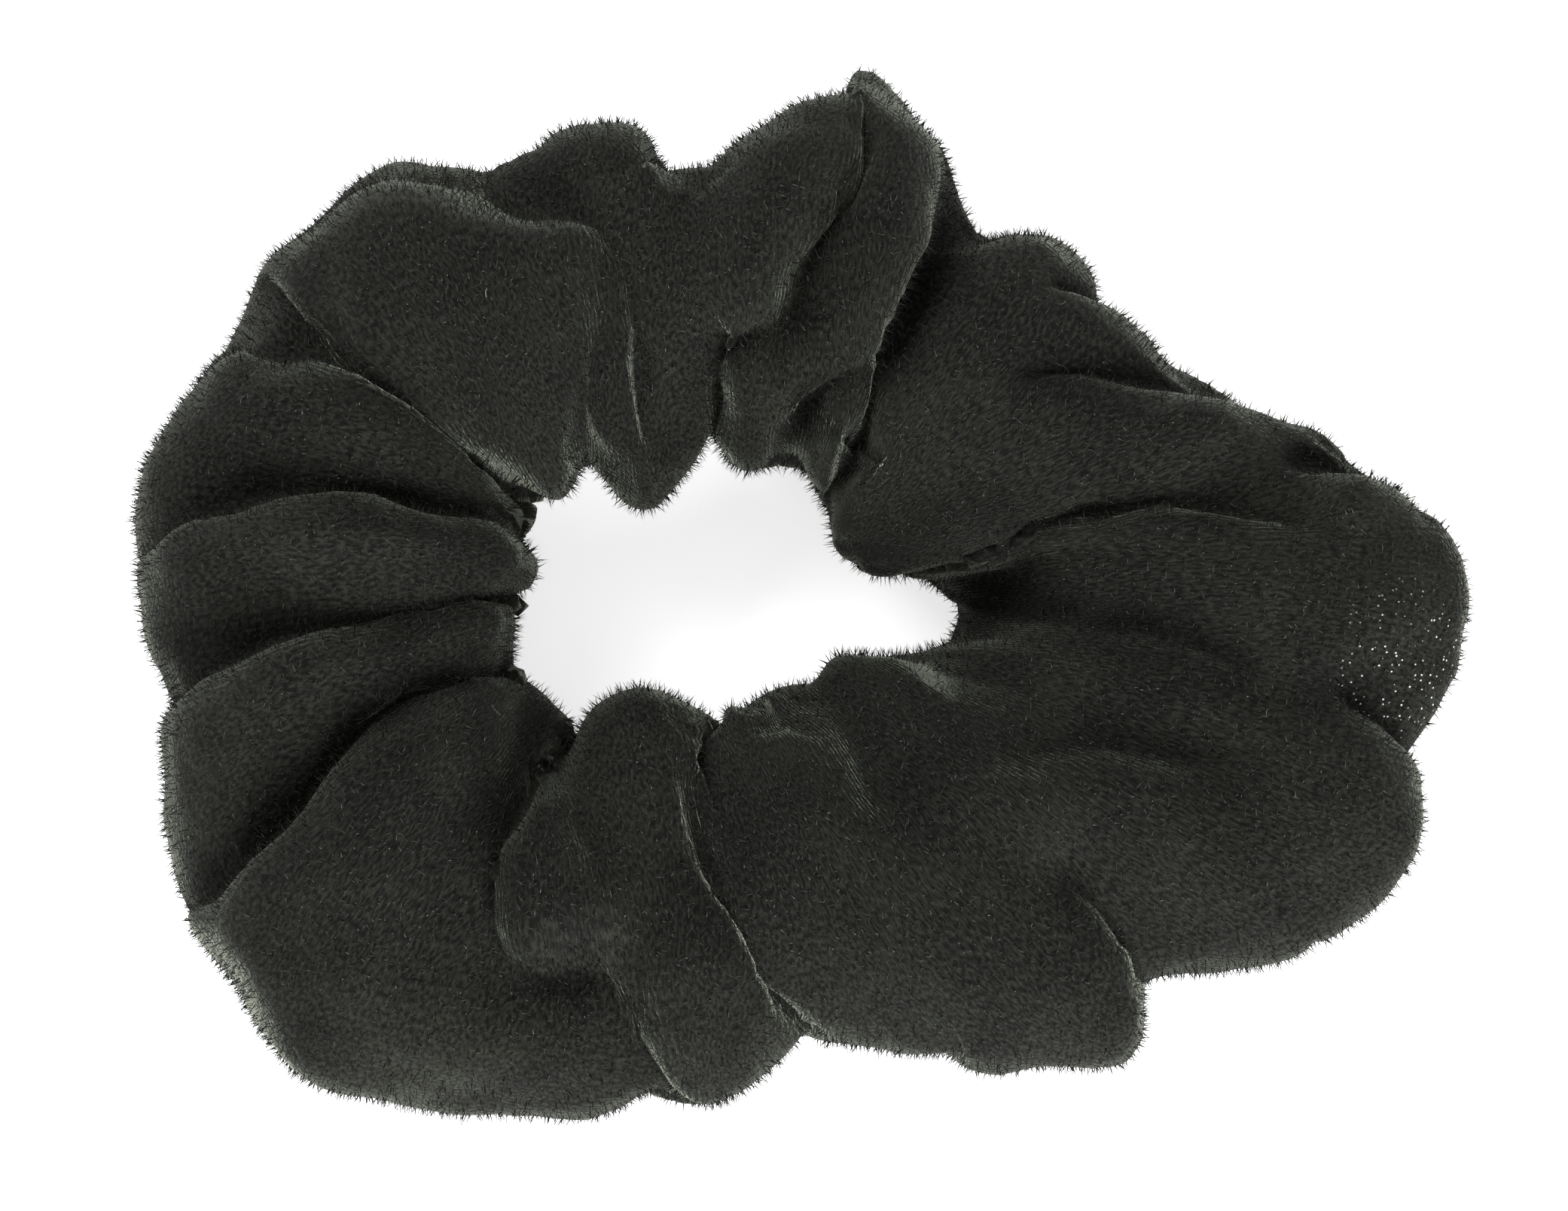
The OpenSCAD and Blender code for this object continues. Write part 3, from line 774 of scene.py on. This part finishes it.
# %% Elastic and threads
ELASTIC_CORDS = 8
CUTS_PER_CORD = 4
CORD_RELIEF = 0.12 * MM
INNER_GAP = 0.1 * MM
STITCH_DEPTH = 0.5 * MM
velvet_face = BVHTree.FromPolygons([vert.co for vert in sleeve.data.vertices],
                                   [face.vertices for face in sleeve.data.polygons])


def copy_of(node_name):
    """A bmesh of a solid of the frame with its doubled points merged."""
    bm = bmesh.new()
    bm.from_mesh(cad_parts[node_name].data)
    bmesh.ops.remove_doubles(bm, verts=bm.verts, dist=MERGE)
    bmesh.ops.recalc_face_normals(bm, faces=bm.faces)
    return bm


def corded(bm):
    """Cuts the elastic along its width and sinks the grooves between its cords."""
    bottom, top = (pick(vert.co.z for vert in bm.verts) for pick in (min, max))
    cuts = ELASTIC_CORDS * CUTS_PER_CORD
    for cut in range(1, cuts):
        level = bottom + (top - bottom) * cut / cuts
        bmesh.ops.bisect_plane(bm, geom=bm.verts[:] + bm.edges[:] + bm.faces[:], plane_co=(0, 0, level),
                               plane_no=(0, 0, 1), dist=MERGE)
    bm.normal_update()
    for vert in bm.verts:
        cords_up = (vert.co.z - bottom) / (top - bottom) * ELASTIC_CORDS
        groove = 1 - abs(math.sin(math.pi * cords_up))
        level_out = Vector((vert.normal.x, vert.normal.y, 0))
        if level_out.length > 0:
            vert.co -= level_out.normalized() * CORD_RELIEF * groove
    return bm


def tuck(piece, depth):
    """Moves any point that is less than depth below the velvet's outer face down to that depth."""
    tucked = 0
    for vert in piece.data.vertices:
        touch, normal, _, _ = velvet_face.find_nearest(vert.co)
        if (vert.co - touch).dot(normal) > -depth:
            vert.co = touch - normal * depth
            tucked += 1
    print(piece.name, len(piece.data.vertices), "points,", tucked, "tucked in")


elastic = new_piece("elastic", corded(copy_of("elastic_loop")))
threads = {name: new_piece("sewn_" + name, copy_of(name)) for name in (
    "elastic_join_thread", "tube_seam_thread_left", "tube_seam_thread_right", "closing_seam_thread")}
for name, thread in threads.items():
    tuck(thread, STITCH_DEPTH if name == "closing_seam_thread" else CLOTH_THICKNESS + INNER_GAP)
    for face in thread.data.polygons:
        face.use_smooth = True
print(len(elastic.data.polygons), "faces of elastic and", len(threads), "threads")

# %% [markdown]
# ## Their finish
# The elastic's cords are covered in white polyester yarn that crosses them on the slant. Sewing thread is
# three plies twisted together: pale for the join and black for the seams in the velvet. The grooves between
# the plies are darkened with painted shade.

# %% Elastic and thread finishes
SOILED_PATCHES, LEAST_CREST = 160, 0.2
GROOVE_ROUGHER = 0.15


def yarn_finish(name, groove, crest, bands_per_metre, roughness):
    """Plied yarn: dark painted shade in the grooves, light on the plies, a little soft."""
    made, tree, shader = new_material(name)
    place = rest_place(tree)
    plies = fill_group(tree, yarn_group, {"Place": place, "Bands per metre": bands_per_metre})
    soiled = fill_group(tree, patches_group, {"Place": place, "Patches per metre": SOILED_PATCHES})
    # painted shade: the groove colour darkens the grooves between the plies; the soiled patches are dirt
    mixed = node(tree, "ShaderNodeMath", {
        0: plies.outputs["Ply"], 1: soiled.outputs["Patch"], 2: LEAST_CREST}, operation="MULTIPLY_ADD")
    colour = node(tree, "ShaderNodeMixRGB", {"Fac": mixed.outputs["Value"], "Color1": groove,
                                             "Color2": crest})
    rough = node(tree, "ShaderNodeMapRange", {
        "Value": plies.outputs["Ply"], "To Min": roughness + GROOVE_ROUGHER, "To Max": roughness})
    bump = node(tree, "ShaderNodeBump", {"Height": plies.outputs["Ply"], "Strength": 0.6,
                                         "Distance": 0.1 * MM})
    tree.links.new(colour.outputs["Color"], shader.inputs["Base Color"])
    tree.links.new(rough.outputs["Result"], shader.inputs["Roughness"])
    tree.links.new(bump.outputs["Normal"], shader.inputs["Normal"])
    shader.inputs["Sheen Weight"].default_value = 0.2
    return made


# the first colour of each finish is painted shade for the grooves between the plies
braid = yarn_finish("elastic_braid", (0.36, 0.35, 0.32, 1), (0.82, 0.81, 0.77, 1), 1100, 0.7)
pale = yarn_finish("pale_sewing_thread", (0.4, 0.39, 0.36, 1), (0.8, 0.79, 0.75, 1), 2500, 0.5)
black = yarn_finish("black_sewing_thread", (0.004, 0.004, 0.004, 1), (0.03, 0.03, 0.032, 1), 2500, 0.5)
elastic.data.materials.append(braid)
for name, thread in threads.items():
    thread.data.materials.append(pale if name == "elastic_join_thread" else black)
print("finishes:", braid.name, pale.name, black.name)

# %% [markdown]
# ## Rest places
# Stretching the scrunchie pulls its right end away from its left end, as the elastic pulls evenly and the
# folds open one after another. Each piece keeps its points' places at rest, and the solid model's own sleeve,
# elastic and threads are hidden.

# %% Keep the rest places and hide the solid model's pieces
for piece in (sleeve, pile, lint, elastic, *threads.values()):
    remember_rest(piece)
    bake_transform(piece)
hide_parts("sleeve_left", "sleeve_right")
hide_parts("elastic_loop")
for name, thread in threads.items():
    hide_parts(name)
